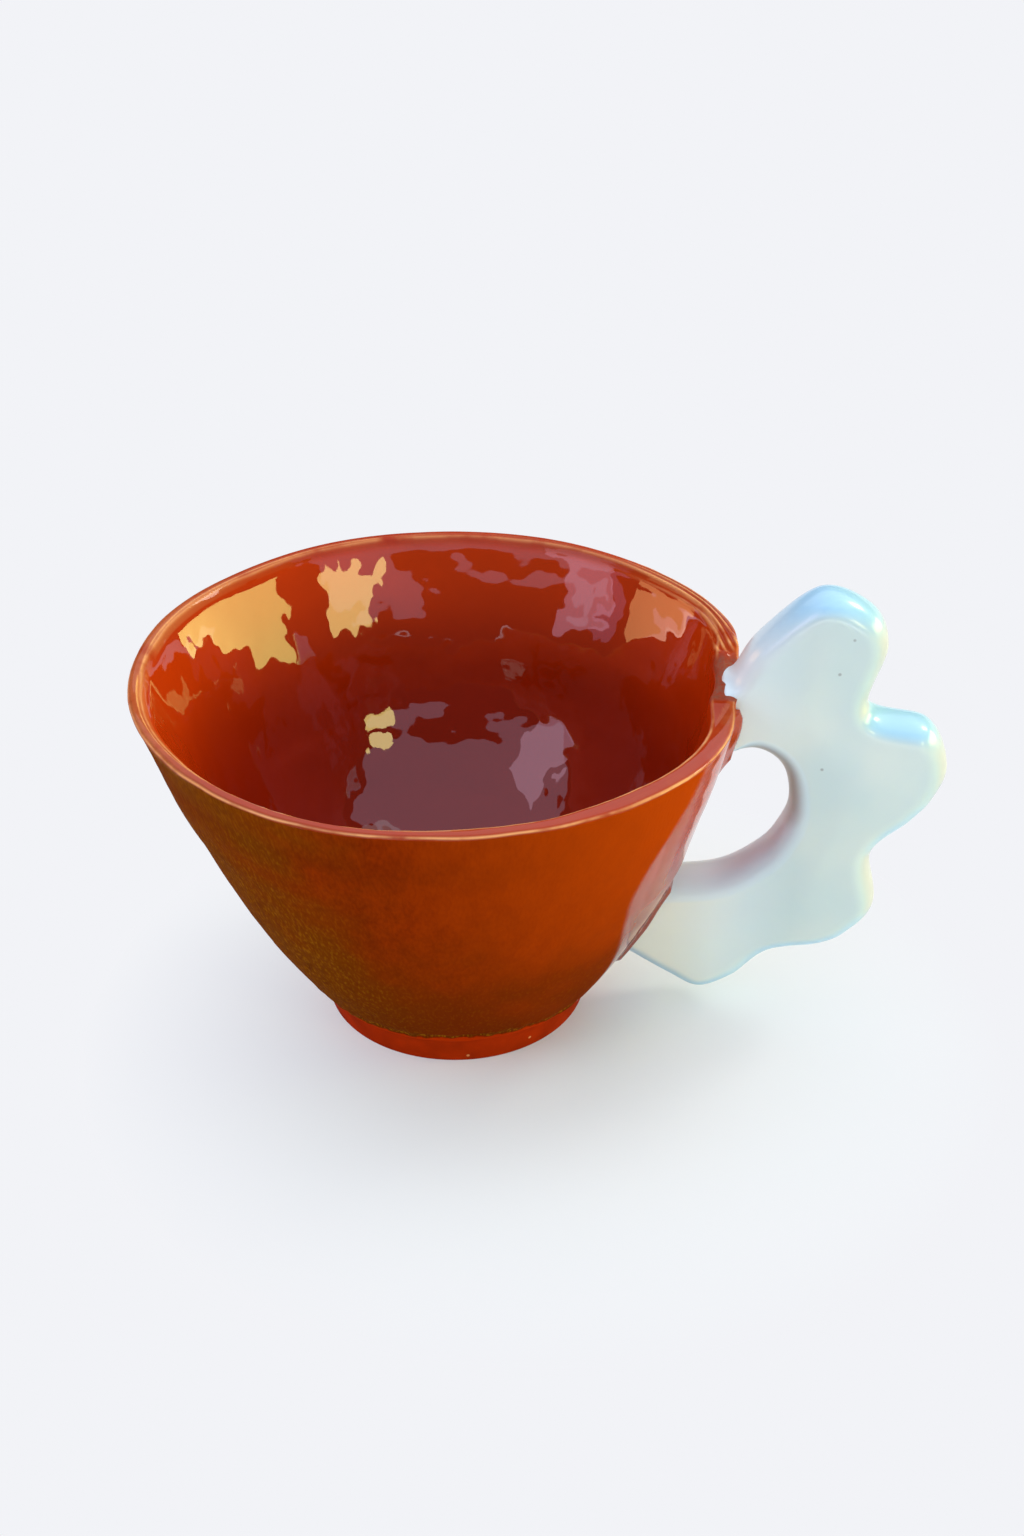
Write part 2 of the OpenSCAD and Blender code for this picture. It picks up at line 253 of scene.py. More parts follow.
def inner_r(b, z):
    """Radius inside: the wall's thickness, with a swelling under the rim that turns its face up."""
    t = wall_share(b, z)
    flare = bezier_slope(b.base_d / 2, b.belly_r, b.rim_d / 2, t) / bezier_slope(b.foot_h, b.belly_z, lip_z(b), t)
    above = np.clip((z - b.swell_z) / (b.cup_h - b.swell_z), 0, 1)
    below = np.clip((b.swell_z - z) / (b.swell_z - COIL_HIGH.z), 0, 1)
    swell = b.swell * (1 - above ** 2) * (1 - below ** 2 * (3 - 2 * below))
    bulk = np.maximum(0, b.bulk_z - z) ** 2 / BULK_EASE
    return outer_r(b, z) - b.wall_t * np.sqrt(1 + flare ** 2) - swell - bulk


def middle_x(b, z):
    """Where the leaning bowl's middle is at a height."""
    return -b.rim_shift * np.clip((z - COIL_HIGH.z) / (b.cup_h - COIL_HIGH.z), 0, 1)


def dent(b, y, z):
    """Depth of the hollow at the handle."""
    up = np.maximum(0, (z - b.cup_h + b.dent_h) / b.dent_h)
    return b.dent_d * up ** 2 * np.exp(-(y / b.dent_w) ** 2)


def brink_x(b):
    """Where the rim's inner edge is in the hollow at the handle."""
    return float(middle_x(b, b.cup_h) + inner_r(b, lip_z(b)) - dent(b, 0.0, b.cup_h))


def handle_z(b, h, q):
    """Height of a place on the handle, given in hundredths of the way up to the rim."""
    return h.clear + (b.cup_h - h.clear) * q / 100


# Making meshes

def add(tree, kind, inputs=(), out=0, **settings):
    """Adds a node with its settings, links or sets its inputs by number or name, and gives one output."""
    node = tree.nodes.new(kind)
    for name, value in settings.items():
        setattr(node, name, value)
    for name, value in inputs.items() if isinstance(inputs, dict) else enumerate(inputs):
        if isinstance(value, bpy.types.NodeSocket):
            tree.links.new(value, node.inputs[name])
        else:
            node.inputs[name].default_value = value
    return node.outputs[out] if node.outputs else None


def points_of(mesh):
    co = np.empty(len(mesh.vertices) * 3)
    mesh.vertices.foreach_get("co", co)
    return co.reshape(-1, 3)


def move_points(mesh, co):
    mesh.vertices.foreach_set("co", co.astype(np.float32).ravel())
    mesh.update()


def link(name, mesh):
    piece = bpy.data.objects.new(name, mesh)
    bpy.context.scene.collection.objects.link(piece)
    return piece


def attribute(mesh, name, values):
    layer = mesh.attributes.get(name) or mesh.attributes.new(name, "FLOAT", "POINT")
    layer.data.foreach_set("value", np.asarray(values, np.float32))


def finished(name, mesh, slot, *nodes):
    """Puts a finished piece in the frame, in the place of its CAD nodes."""
    piece = link(name, mesh)
    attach(piece, "root")
    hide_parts(*nodes)


def mesh_from_grid(name, grid, caps):
    """A mesh over rows of points, closed round each row, with its ends capped by fans."""
    rows, sides = grid.shape[:2]
    points = [tuple(p) for p in grid.reshape(-1, 3)]
    faces = []
    for i in range(rows - 1):
        for j in range(sides):
            k = (j + 1) % sides
            faces.append((i * sides + j, i * sides + k, (i + 1) * sides + k, (i + 1) * sides + j))
    if caps:
        for row, order in ((0, -1), (rows - 1, 1)):
            ring = list(range(row * sides, row * sides + sides))[::order]
            points.append(tuple(grid[row].mean(0)))
            faces += [(ring[j], ring[(j + 1) % sides], len(points) - 1) for j in range(sides)]
    mesh = bpy.data.meshes.new(name)
    mesh.from_pydata(points, [], faces)
    return mesh


def tidy_mesh(mesh):
    """Merges doubles, turns faces outwards and shades smooth."""
    bm = bmesh.new()
    bm.from_mesh(mesh)
    bmesh.ops.remove_doubles(bm, verts=bm.verts, dist=SAME_POINT)
    bmesh.ops.recalc_face_normals(bm, faces=bm.faces)
    for face in bm.faces:
        face.smooth = True
    bm.to_mesh(mesh)
    bm.free()


def turned_tree():
    """Geometry Nodes: turns a profile into a ring of clay, leans it and lets it wobble."""
    tree = bpy.data.node_groups.new("Turned clay", "GeometryNodeTree")
    tree.interface.new_socket("Geometry", in_out="OUTPUT", socket_type="NodeSocketGeometry")
    kinds = {"Profile": "Object", "Around": "Int", "Along": "Int", "Seed": "Int", "Glaze": "Material"}
    for name in ("Profile", "Around", "Along", "Lean", "Lean from", "Lean to", "Form wobble", "Form size",
                 "Inner ripple", "Inner size", "Outer ripple", "Outer size", "Seed", "Glaze"):
        tree.interface.new_socket(name, in_out="INPUT", socket_type="NodeSocket" + kinds.get(name, "Float"))
    get = add(tree, "NodeGroupInput").node.outputs
    columns = add(tree, COUNT, (get["Around"], 1), **PLUS)
    sheet = add(tree, "GeometryNodeMeshGrid", {"Vertices X": columns, "Vertices Y": get["Along"]}, "Mesh")
    index = add(tree, "GeometryNodeInputIndex")
    column = add(tree, COUNT, (index, get["Along"]), **OVER)
    row = add(tree, COUNT, (index, get["Along"]), operation="MODULO")
    profile = add(tree, "GeometryNodeObjectInfo", {"Object": get["Profile"]}, "Geometry")
    place = add(tree, "GeometryNodeInputPosition")
    at = add(tree, SAMPLE, {"Geometry": profile, "Value": place, "Index": row}, data_type="FLOAT_VECTOR")
    turn = add(tree, MATH, (column, 2 * math.pi), **TIMES)
    angle = add(tree, MATH, (turn, get["Around"]), **OVER)
    swung = add(tree, "ShaderNodeVectorRotate", {"Vector": at, "Angle": angle}, rotation_type="Z_AXIS")
    ring = add(tree, MOVE, {"Geometry": sheet, "Position": swung})
    for name in ("inside", "thin", "gloss"):
        mark = add(tree, NAMED, {"Name": name}, **NUMBER)
        value = add(tree, SAMPLE, {"Geometry": profile, "Value": mark, "Index": row}, **NUMBER)
        ring = add(tree, "GeometryNodeStoreNamedAttribute", {"Geometry": ring, "Name": name, "Value": value},
                   domain="POINT", **NUMBER)
    whole = add(tree, "GeometryNodeMergeByDistance", {"Geometry": ring, "Distance": SAME_POINT})
    # The wall strays from round the same way inside and outside: noise on the direction from the axis,
    # in bands that are flatter than they are long, and least at the rim.
    x, y, z = add(tree, SPLIT, (place,)).node.outputs
    outward = add(tree, VECTOR, (add(tree, JOIN, (x, y)),), **UNIT)
    band = add(tree, JOIN, {2: add(tree, MATH, (z, 4.0), **TIMES)})
    around = add(tree, VECTOR, {0: outward, "Scale": 0.05}, **SCALE)
    banded = add(tree, VECTOR, (around, band), **PLUS)
    rise = add(tree, SPAN, (z, get["Lean from"], get["Lean to"]))
    # Inside there are ripples. Outside, the scraped relief is strongest low down and away from the handle.
    squat = add(tree, VECTOR, (place, (1.0, 1.0, 0.7)), **TIMES)
    tall = add(tree, VECTOR, (place, (1.0, 1.0, 0.4)), **TIMES)
    low = add(tree, SPAN, (z, 46 * MM, 10 * MM, 0.1, 0.5))
    far = add(tree, SPAN, (x, 10 * MM, -40 * MM, 0.0, 0.6))
    even = add(tree, SPAN, (rise, 1.0, 0.75, 0.0, get["Outer ripple"]))
    rough = add(tree, MATH, (add(tree, MATH, (low, far), **PLUS), even), **TIMES)
    waves = []
    for where, size, height, detail, roughness in ((banded, "Form size", get["Form wobble"], 1.0, 0.5),
                                                   (squat, "Inner size", get["Inner ripple"], 3.0, 0.45),
                                                   (tall, "Outer size", rough, 2.0, 0.5)):
        noise = add(tree, NOISE, {
            "Vector": where, "W": get["Seed"], "Scale": add(tree, MATH, (1.0, get[size]), **OVER),
            "Detail": detail, "Roughness": roughness}, noise_dimensions="4D")
        waves.append(add(tree, MATH, (add(tree, MATH, (noise, 0.5), **LESS), height), **TIMES))
    form, inner, outer = waves
    calm = add(tree, SPAN, (add(tree, MATH, (rise, 4.0), operation="POWER"), 0.0, 1.0, 1.0, 0.2))
    stray = add(tree, VECTOR, {0: outward, "Scale": add(tree, MATH, (form, calm), **TIMES)}, **SCALE)
    lean = add(tree, MATH, (add(tree, MATH, (rise, get["Lean"]), **TIMES), -1.0), **TIMES)
    shift = add(tree, VECTOR, (stray, add(tree, JOIN, (lean,))), **PLUS)
    shaped = add(tree, MOVE, {"Geometry": whole, "Offset": shift})
    # Relief lies along lines from a point over the bowl, so that wall, coil and floor ripple alike.
    inside = add(tree, NAMED, {"Name": "inside"}, **NUMBER)
    over = add(tree, JOIN, {2: get["Lean to"]})
    away = add(tree, VECTOR, (add(tree, VECTOR, (place, over), **LESS),), **UNIT)
    swell = add(tree, MIX, {0: inside, 2: outer, 3: inner}, **NUMBER)
    relief = add(tree, VECTOR, {0: away, "Scale": swell}, **SCALE)
    glazed = add(tree, MOVE, {"Geometry": shaped, "Offset": relief})
    smooth = add(tree, SHADING, {"Geometry": glazed})
    bend = add(tree, "GeometryNodeInputMeshEdgeAngle", out="Unsigned Angle")
    sharp = add(tree, MATH, (bend, CREASE), operation="GREATER_THAN")
    crisp = add(tree, SHADING, {"Geometry": smooth, "Selection": sharp, "Shade Smooth": False}, domain="EDGE")
    real = add(tree, "GeometryNodeRealizeInstances", {"Geometry": crisp})
    coat = add(tree, "GeometryNodeSetMaterial", {"Geometry": real, "Material": get["Glaze"]})
    add(tree, "NodeGroupOutput", {"Geometry": coat})
    return tree


def run_tree(name, tree, values):
    """Runs a Geometry Nodes tree with named inputs, and gives its result as a plain mesh."""
    holder = link(name + "_maker", bpy.data.meshes.new(name + "_start"))
    made = holder.modifiers.new("make", "NODES")
    made.node_group = tree
    sockets = {s.name: s.identifier for s in tree.interface.items_tree if s.in_out == "INPUT"}
    for key, value in values.items():
        made[sockets[key]] = value
    graph = bpy.context.evaluated_depsgraph_get()
    mesh = bpy.data.meshes.new_from_object(holder.evaluated_get(graph))
    mesh.name = name
    holder.modifiers.remove(made)
    bpy.data.objects.remove(holder)
    return mesh


def about_axis(b, co):
    """Compass angle in degrees, radius and outward direction of points, about the leaning bowl's middle."""
    x = co[:, 0] - middle_x(b, co[:, 2])
    rho = np.hypot(x, co[:, 1])
    return np.degrees(np.arctan2(co[:, 1], x)) % 360, rho, np.stack([x, co[:, 1]], -1) / np.maximum(rho, MM)[:, None]


def drawn_thin(angle):
    """How much thinner the wall is drawn at the rim, in metres: least just beside the handle."""
    part = between(angle, *DRAWN)
    root = bell(np.minimum(angle, 360 - angle), 0, 7)
    return 1.4 * MM * (part * (1 - 0.75 * ease(angle, 275, 315)) + root)


def hand_form(b, co):
    """Moves points: fuller or hollower in places than a turned bowl, thinner at the rim, and a torn groove over
    the foot."""
    z = co[:, 2]
    angle, rho, out = about_axis(b, co)
    aside = (angle + 180) % 360 - 180
    upper = ease(z, 50 * MM, 66 * MM)
    lower = between(z, 8 * MM, 24 * MM, 50 * MM, 66 * MM)
    # In millimetres: fuller on the left, behind the handle and in front, and hollow beside the handle.
    fuller = 0.8 * bell(angle, 190, 45) * lower
    fuller += 0.7 * bell(angle, 52, 16) * upper
    fuller += 0.35 * bell(angle, 262, 32) * upper
    fuller -= 0.8 * bell(aside, -14, 13) * ease(z, 30 * MM, 48 * MM)
    ring = out * 26 * MM
    middle = 8.6 * MM + 0.35 * MM * ripple(ring, 5 * MM, 11)
    depth = np.clip(0.55 + 0.45 * ripple(ring, 3 * MM, 12), 0.1, 1.2)
    groove = depth * bell(z, middle, 0.9 * MM)
    ridge = 0.5 * depth * bell(z, middle - 0.1 * MM, 0.35 * MM)
    scratch = 0.16 * ripple(co * [1, 1, 0.6], 1.6 * MM, 13) * bell(z, 9 * MM, 2.2 * MM)
    skin = rho > outer_r(b, z) - SKIN
    move = (fuller + skin * (ridge - groove + scratch)) * MM
    move += drawn_thin(angle) * ease(z, b.cup_h - 20 * MM, b.cup_h) * ease(outer_r(b, z) - rho, 0.8 * MM, 3.4 * MM)
    return np.concatenate([co[:, :2] + out * move[:, None], co[:, 2:]], 1)


def turned(name, profile, marks, slot, bowl, wobble=1.0):
    """Turns a profile of (radius, height) points, and presses in the hollow at the handle."""
    line = bpy.data.meshes.new(name + "_line")
    line.from_pydata([(r, 0, z) for r, z in profile], [(i, i + 1) for i in range(len(profile) - 1)], [])
    for mark, values in marks.items():
        attribute(line, mark, values)
    outline = link(name + "_outline", line)
    bpy.context.view_layer.update()
    tree = bpy.data.node_groups.get("Turned clay") or turned_tree()
    mesh = run_tree(name, tree, {
        "Profile": outline, "Around": bowl.around, "Along": len(profile), "Lean": bowl.rim_shift,
        "Lean from": COIL_HIGH.z, "Lean to": bowl.cup_h, "Form wobble": wobble * bowl.form_wobble,
        "Form size": 40 * MM, "Inner ripple": wobble * bowl.inner_ripple, "Inner size": 14 * MM,
        "Outer ripple": wobble * bowl.outer_ripple, "Outer size": 3.0 * MM, "Seed": 7, "Glaze": glaze(slot),
    })
    bpy.data.objects.remove(outline)
    co = points_of(mesh)
    co[:, 0] -= np.where(co[:, 0] > 0, dent(bowl, co[:, 1], co[:, 2]), 0)
    move_points(mesh, hand_form(bowl, co))
    return mesh


# Materials

def new_material(name):
    """An empty node material and its tree."""
    material = bpy.data.materials.new(name)
    material.use_nodes = True
    material.node_tree.nodes.clear()
    return material, material.node_tree


def speckled(tree, tint, specks, reach, share, shade):
    """A colour with specks of another in it, of a reach from their middle and a share of that colour."""
    place = add(tree, "ShaderNodeTexCoord", out="Object")
    for spot in specks:
        near = add(tree, VECTOR, (place, tuple(v * MM for v in spot)), "Value", **APART)
        tint = add(tree, MIX, {0: add(tree, SPAN, (near, reach, 0.2 * MM, 0.0, share)), 6: tint, 7: shade}, **TINT)
    return tint


def amber_glaze(name, c):
    """Transparent iron-amber glaze on red earthenware, brushed on and fired glossy. Where it lies thick, inside and on
    the rim, it is a clear coat that mirrors its surroundings; inside it darkens with depth, partly as painted shade.
    Outside it is thin over scraped clay, so the clay's dull skin shows, in hair strokes, olive clouds and dark brown
    spots, with painted golden highlights along the strokes and a band of painted shade under the rim, and the smooth
    glaze is painted lighter towards the handle as painted light. It breaks pale over sharp edges, partly as painted
    highlight."""
    material, tree = new_material(name)
    place = add(tree, "ShaderNodeTexCoord", out="Object")
    x, y, z = add(tree, SPLIT, (place,)).node.outputs
    inside, thin, torn, gloss = (add(tree, MARK, out="Fac", attribute_name=mark)
                                 for mark in ("inside", "thin", "torn", "gloss"))
    # Hair strokes 0.5 mm wide and 4 mm tall, spots 3 mm wide and 6 mm tall, clouds of 14 mm, and breaks of 7 mm in
    # the pale edge: width, width over height, detail and roughness of each.
    grains = []
    for wide, squat, detail, roughness in ((0.5 * MM, 0.12, 2, 0.5), (3.2 * MM, 0.55, 5, 0.6), (14 * MM, 1, 4, 0.5),
                                           (7 * MM, 1, 3, 0.5)):
        drawn = add(tree, "ShaderNodeMapping", {"Vector": place, "Scale": (1, 1, squat)})
        grains.append(add(tree, NOISE, {"Vector": drawn, "Scale": 1 / wide, "Detail": detail, "Roughness": roughness}))
    hairs, spots, cloud, breaks = grains
    # The scraped part of the wall: low down, and on the side away from the handle.
    low = add(tree, SPAN, (z, 52 * MM, 14 * MM, 0.0, 0.75), **SOFT)
    far = add(tree, SPAN, (x, 12 * MM, -44 * MM, 0.0, 0.8), **SOFT)
    patchy = add(tree, SPAN, (cloud, 0.3, 0.7, -0.22, 0.22))
    scraped = add(tree, MATH, (add(tree, MATH, (low, far), **PLUS), patchy), **PLUS)
    scraped = add(tree, SPAN, (scraped, 0.05, 1.0), **SOFT)
    rough = add(tree, MATH, (scraped, 2.0), operation="POWER")
    rough = add(tree, MATH, (rough, add(tree, SPAN, (far, 0.1, 0.6, 0.25, 1.0))), **TIMES)
    rough = add(tree, MATH, (rough, add(tree, SPAN, (z, 64 * MM, 48 * MM, 0.3, 1.0))), **TIMES)
    # Smooth glaze is amber, painted lighter towards the handle and higher up: painted light on the side the light
    # falls on. Scraped, it is brown in front and olive on the far side.
    right = add(tree, SPAN, (x, -10 * MM, 42 * MM, 0.08, 0.8))
    right = add(tree, MATH, (right, add(tree, SPAN, (z, 25 * MM, 60 * MM, 0.85, 1.15))), **TIMES)
    streak = add(tree, SPAN, (hairs, 0.3, 0.7), **SOFT)
    mottled = add(tree, SPAN, (spots, 0.35, 0.65, 0.0, 0.16), **SOFT)
    mottled = add(tree, MATH, (streak, 0.14, mottled), operation="MULTIPLY_ADD")
    warm = add(tree, MIX, {0: mottled, 6: c.amber, 7: c.light_amber_and_painted_light}, **TINT)
    warm = add(tree, MIX, {0: right, 6: warm, 7: c.light_amber_and_painted_light}, **TINT)
    # Painted golden highlights along the hair strokes of the scraped glaze
    dull = add(tree, MIX, {0: add(tree, MATH, (streak, 0.18), **TIMES), 6: c.olive, 7: c.painted_gold_highlight}, **TINT)
    dull = add(tree, MIX, {0: add(tree, SPAN, (far, 0.05, 0.5, 0.15, 1.0)), 6: c.brown, 7: dull}, **TINT)
    bare = add(tree, MATH, (scraped, 0.8), **TIMES)
    dark = add(tree, MATH, (add(tree, SPAN, (spots, 0.46, 0.74, 0.0, 0.5), **SOFT), rough), **TIMES)
    # Painted golden highlights along hair strokes where the relief is rough
    painted_vein_highlight = add(tree, MATH, (add(tree, SPAN, (hairs, 0.54, 0.72, 0.0, 0.5)), rough), **TIMES)
    # Under the rim a soft level band of painted shade, darkest about 9 mm down, as the shade of a shallow hollow.
    level = add(tree, MATH, (z, add(tree, SPAN, (cloud, 0.3, 0.7, -1.5 * MM, 1.5 * MM))), **PLUS)
    away = add(tree, MATH, (add(tree, MATH, (level, 59.5 * MM), **LESS),), operation="ABSOLUTE")
    band = add(tree, SPAN, (away, 5.5 * MM, 0.5 * MM, 0.0, 0.12), **SOFT)
    band = add(tree, SPAN, (x, 28 * MM, 2 * MM, 0.0, band))
    # The groove over the foot, highest in front, holds dark glaze with painted golden highlights on its ridges. Below
    # it the foot's slip comes up.
    uneven = add(tree, MATH, (z, add(tree, SPAN, (spots, 0.3, 0.7, -0.5 * MM, 0.5 * MM))), **PLUS)
    uneven = add(tree, MATH, (uneven, add(tree, SPAN, (y, -10 * MM, -27 * MM, 0.0, 1.0 * MM))), **LESS)
    filled = add(tree, SPAN, (uneven, 9.4 * MM, 8.4 * MM, 0.0, 0.8))
    groove = add(tree, SPAN, (uneven, 7.2 * MM, 7.7 * MM, 0.0, filled))
    painted_groove_highlight = add(tree, MATH, (groove, add(tree, SPAN, (hairs, 0.5, 0.6, 0.0, 0.8))), **TIMES)
    slip = add(tree, SPAN, (uneven, 7.2 * MM, 6.8 * MM))
    # Inside, the colour darkens the lower it lies, for the deeper glaze and partly as painted shade, and is darker
    # again on the rim's land, as painted shade that tones down the lamps' reflection there.
    height = add(tree, SPAN, (z, 38 * MM, 68 * MM), **SOFT)
    height = add(tree, MATH, (height, add(tree, SPAN, (z, 67.2 * MM, 68.2 * MM, 1.0, 0.62))), operation="MINIMUM")
    deep = add(tree, MIX, {0: height, 6: c.pool, 7: c.pool_top}, **TINT)
    deep = add(tree, MIX, {0: add(tree, MATH, (cloud, 0.3), **TIMES), 6: deep, 7: c.amber}, **TINT)
    # The pale edge colour is partly glaze that breaks thin over edges and partly painted highlight
    pale = add(tree, SPAN, (breaks, 0.28, 0.52, 0.0, thin))
    rag = add(tree, MATH, (torn, add(tree, SPAN, (hairs, 0.35, 0.6, 0.45, 1.0))), **TIMES)
    tint = warm
    for share, shade in ((bare, dull), (dark, c.umber_and_painted_shade), (band, c.umber_and_painted_shade), (painted_vein_highlight, c.painted_gold_highlight), (groove, c.groove),
                         (painted_groove_highlight, c.painted_gold_highlight), (slip, c.foot_red), (inside, deep), (pale, c.edge), (rag, c.torn)):
        tint = add(tree, MIX, {0: share, 6: tint, 7: shade}, **TINT)
    relief = add(tree, MATH, (hairs, 0.3, add(tree, MATH, (spots, scraped), **TIMES)), operation="MULTIPLY_ADD")
    relief = add(tree, MATH, (relief, add(tree, MATH, (1.0, gloss), **LESS)), **TIMES)
    skin = add(tree, "ShaderNodeBsdfPrincipled", {
        "Base Color": tint, "Roughness": add(tree, SPAN, (hairs, 0.0, 1.0, 0.68, 0.88)),
        "Normal": add(tree, "ShaderNodeBump", {"Height": relief, "Strength": 0.3, "Distance": 0.5 * MM}),
        "Coat Weight": add(tree, MATH, (gloss, add(tree, SPAN, (torn, 0.0, 1.0, 1.0, 0.25))), **TIMES),
        "Specular IOR Level": 0.006, "Coat Roughness": 0.03, "Coat IOR": 1.54})
    add(tree, "ShaderNodeOutputMaterial", {"Surface": skin})
    return material


def foot_slip(name, c):
    """Iron-red slip over earthenware, wiped and fired to a satin: a saturated red, darker where it was wiped
    thin, with a soft sheen and a few pale specks of grog."""
    material, tree = new_material(name)
    place = add(tree, "ShaderNodeTexCoord", out="Object")
    # Wiped clouds of 5 mm, and grain that is drawn at 0.5 mm, coarser than the clay's own, so that it shows.
    cloud = add(tree, NOISE, {"Vector": place, "Scale": 1 / (5 * MM), "Detail": 5.0})
    grain = add(tree, NOISE, {"Vector": place, "Scale": 1 / (0.5 * MM), "Detail": 2.0})
    wiped = add(tree, SPAN, (cloud, 0.3, 0.7, 0.05, 0.5))
    tint = add(tree, MIX, {0: wiped, 6: c.foot_red, 7: c.amber}, **TINT)
    skin = add(tree, "ShaderNodeBsdfPrincipled", {
        "Base Color": speckled(tree, tint, FOOT_SPECKS, 0.36 * MM, 1.0, c.edge),
        "Roughness": add(tree, SPAN, (grain, 0.0, 1.0, 0.6, 0.8)),
        "Normal": add(tree, "ShaderNodeBump", {"Height": grain, "Strength": 0.25, "Distance": 0.08 * MM}),
        "Specular IOR Level": 0.02})
    add(tree, "ShaderNodeOutputMaterial", {"Surface": skin})
    return material


def pearl_glaze(name, c):
    """White tin glaze with a pearl lustre, fired to a soft gloss: painted sky blue on the lobes and painted blue light
    under them, cream where it is thin and cream lifted as painted light at the roots, lilac painted light in the
    finger hole and tan painted shade at its upper edge, with a few iron specks and a painted warm light along the
    edges facing away from the bowl."""
    material, tree = new_material(name)
    place = add(tree, "ShaderNodeTexCoord", out="Object")
    x, _, z = add(tree, SPLIT, (place,)).node.outputs
    out, _, up = add(tree, SPLIT, (add(tree, "ShaderNodeNewGeometry", out="Normal"),)).node.outputs
    hole = add(tree, MARK, out="Fac", attribute_name="hole")
    # Clouds of 22 mm, and a mist of pinholes that is drawn at 2 mm, coarser than the real one, so that it shows.
    cloud = add(tree, NOISE, {"Vector": place, "Scale": 1 / (22 * MM), "Detail": 2.0})
    mist = add(tree, NOISE, {"Vector": place, "Scale": 1 / (2 * MM), "Detail": 1.0})
    # Painted light: near white at the upper root, lifting the shade and the orange bounce beside the wall
    upper = add(tree, SPAN, (x, 62 * MM, 48 * MM, 0.0, 0.8))
    # Cream at the lower root is lifted as painted light against the shade beside the wall; elsewhere it is cream
    # clouds where the glaze is thin
    root = add(tree, SPAN, (x, 54 * MM, 40 * MM, 0.0, 0.9))
    root = add(tree, SPAN, (z, 50 * MM, 36 * MM, 0.0, root))
    thin = add(tree, SPAN, (cloud, 0.35, 0.75, 0.0, 0.4), **SOFT)
    thin = add(tree, MATH, (root, thin), operation="MAXIMUM")
    # Painted warm light on the edges that face away from the bowl
    edge = add(tree, SPAN, (out, 0.45, 0.9, 0.0, 0.8), **SOFT)
    # Painted blue light on the faces that turn down
    below = add(tree, SPAN, (up, -0.1, -0.6, 0.0, 0.75), **SOFT)
    # Painted light in the finger hole, lighter and bluer against its shade and the orange bounce
    ring = add(tree, MATH, (hole, 0.9), **TIMES)
    # Painted shade: tan on the finger hole's faces that turn down and towards the bowl
    under = add(tree, MATH, (out, 0.6, up), operation="MULTIPLY_ADD")
    bare = add(tree, MATH, (add(tree, SPAN, (under, -0.15, -0.7, 0.0, 0.8)), hole), **TIMES)
    # Painted sky reflection: blue on the upper facets that face up, less towards the root
    thick = add(tree, SPAN, (up, 0.2, 0.8), **SOFT)
    thick = add(tree, MATH, (thick, add(tree, SPAN, (z, 52 * MM, 60 * MM, 0.0, 0.9))), **TIMES)
    thick = add(tree, MATH, (thick, add(tree, SPAN, (x, 50 * MM, 60 * MM, 0.2, 1.0))), **TIMES)
    tint = c.pearl
    for share, shade in ((upper, c.painted_root_light), (thin, c.cream_and_painted_root_light), (edge, c.painted_warm_edge), (below, c.painted_sky_blue),
                         (ring, c.painted_hole_light), (bare, c.painted_hole_shade), (thick, c.painted_sky_blue)):
        tint = add(tree, MIX, {0: share, 6: tint, 7: shade}, **TINT)
    coat = add(tree, SPAN, (x, 46 * MM, 58 * MM, 0.05, 0.6))
    skin = add(tree, "ShaderNodeBsdfPrincipled", {
        "Base Color": speckled(tree, tint, HANDLE_SPECKS, 0.4 * MM, 0.45, c.umber_and_painted_shade),
        "Roughness": add(tree, SPAN, (cloud, 0.3, 0.7, 0.29, 0.35)),
        "Normal": add(tree, "ShaderNodeBump", {"Height": mist, "Strength": 0.02, "Distance": 0.02 * MM}),
        "Coat Weight": add(tree, MATH, (coat, add(tree, SPAN, (hole, 0.0, 1.0, 1.0, 0.1))), **TIMES),
        "IOR": 1.5, "Coat Roughness": 0.1})
    add(tree, "ShaderNodeOutputMaterial", {"Surface": skin})
    return material


GLAZES = {"amber_glaze": ("Amber iron glaze, brushed and fired", amber_glaze),
          "foot_clay": ("Iron-red slip, wiped and satin fired", foot_slip),
          "pearl_glaze": ("Pearl lustre on tin-white glaze", pearl_glaze)}


def glaze(slot):
    """The material of a slot, made when it is first asked for."""
    name, make = GLAZES[slot]
    return bpy.data.materials.get(name) or make(name, bpy.context.scene.mug_colours)


# Pieces

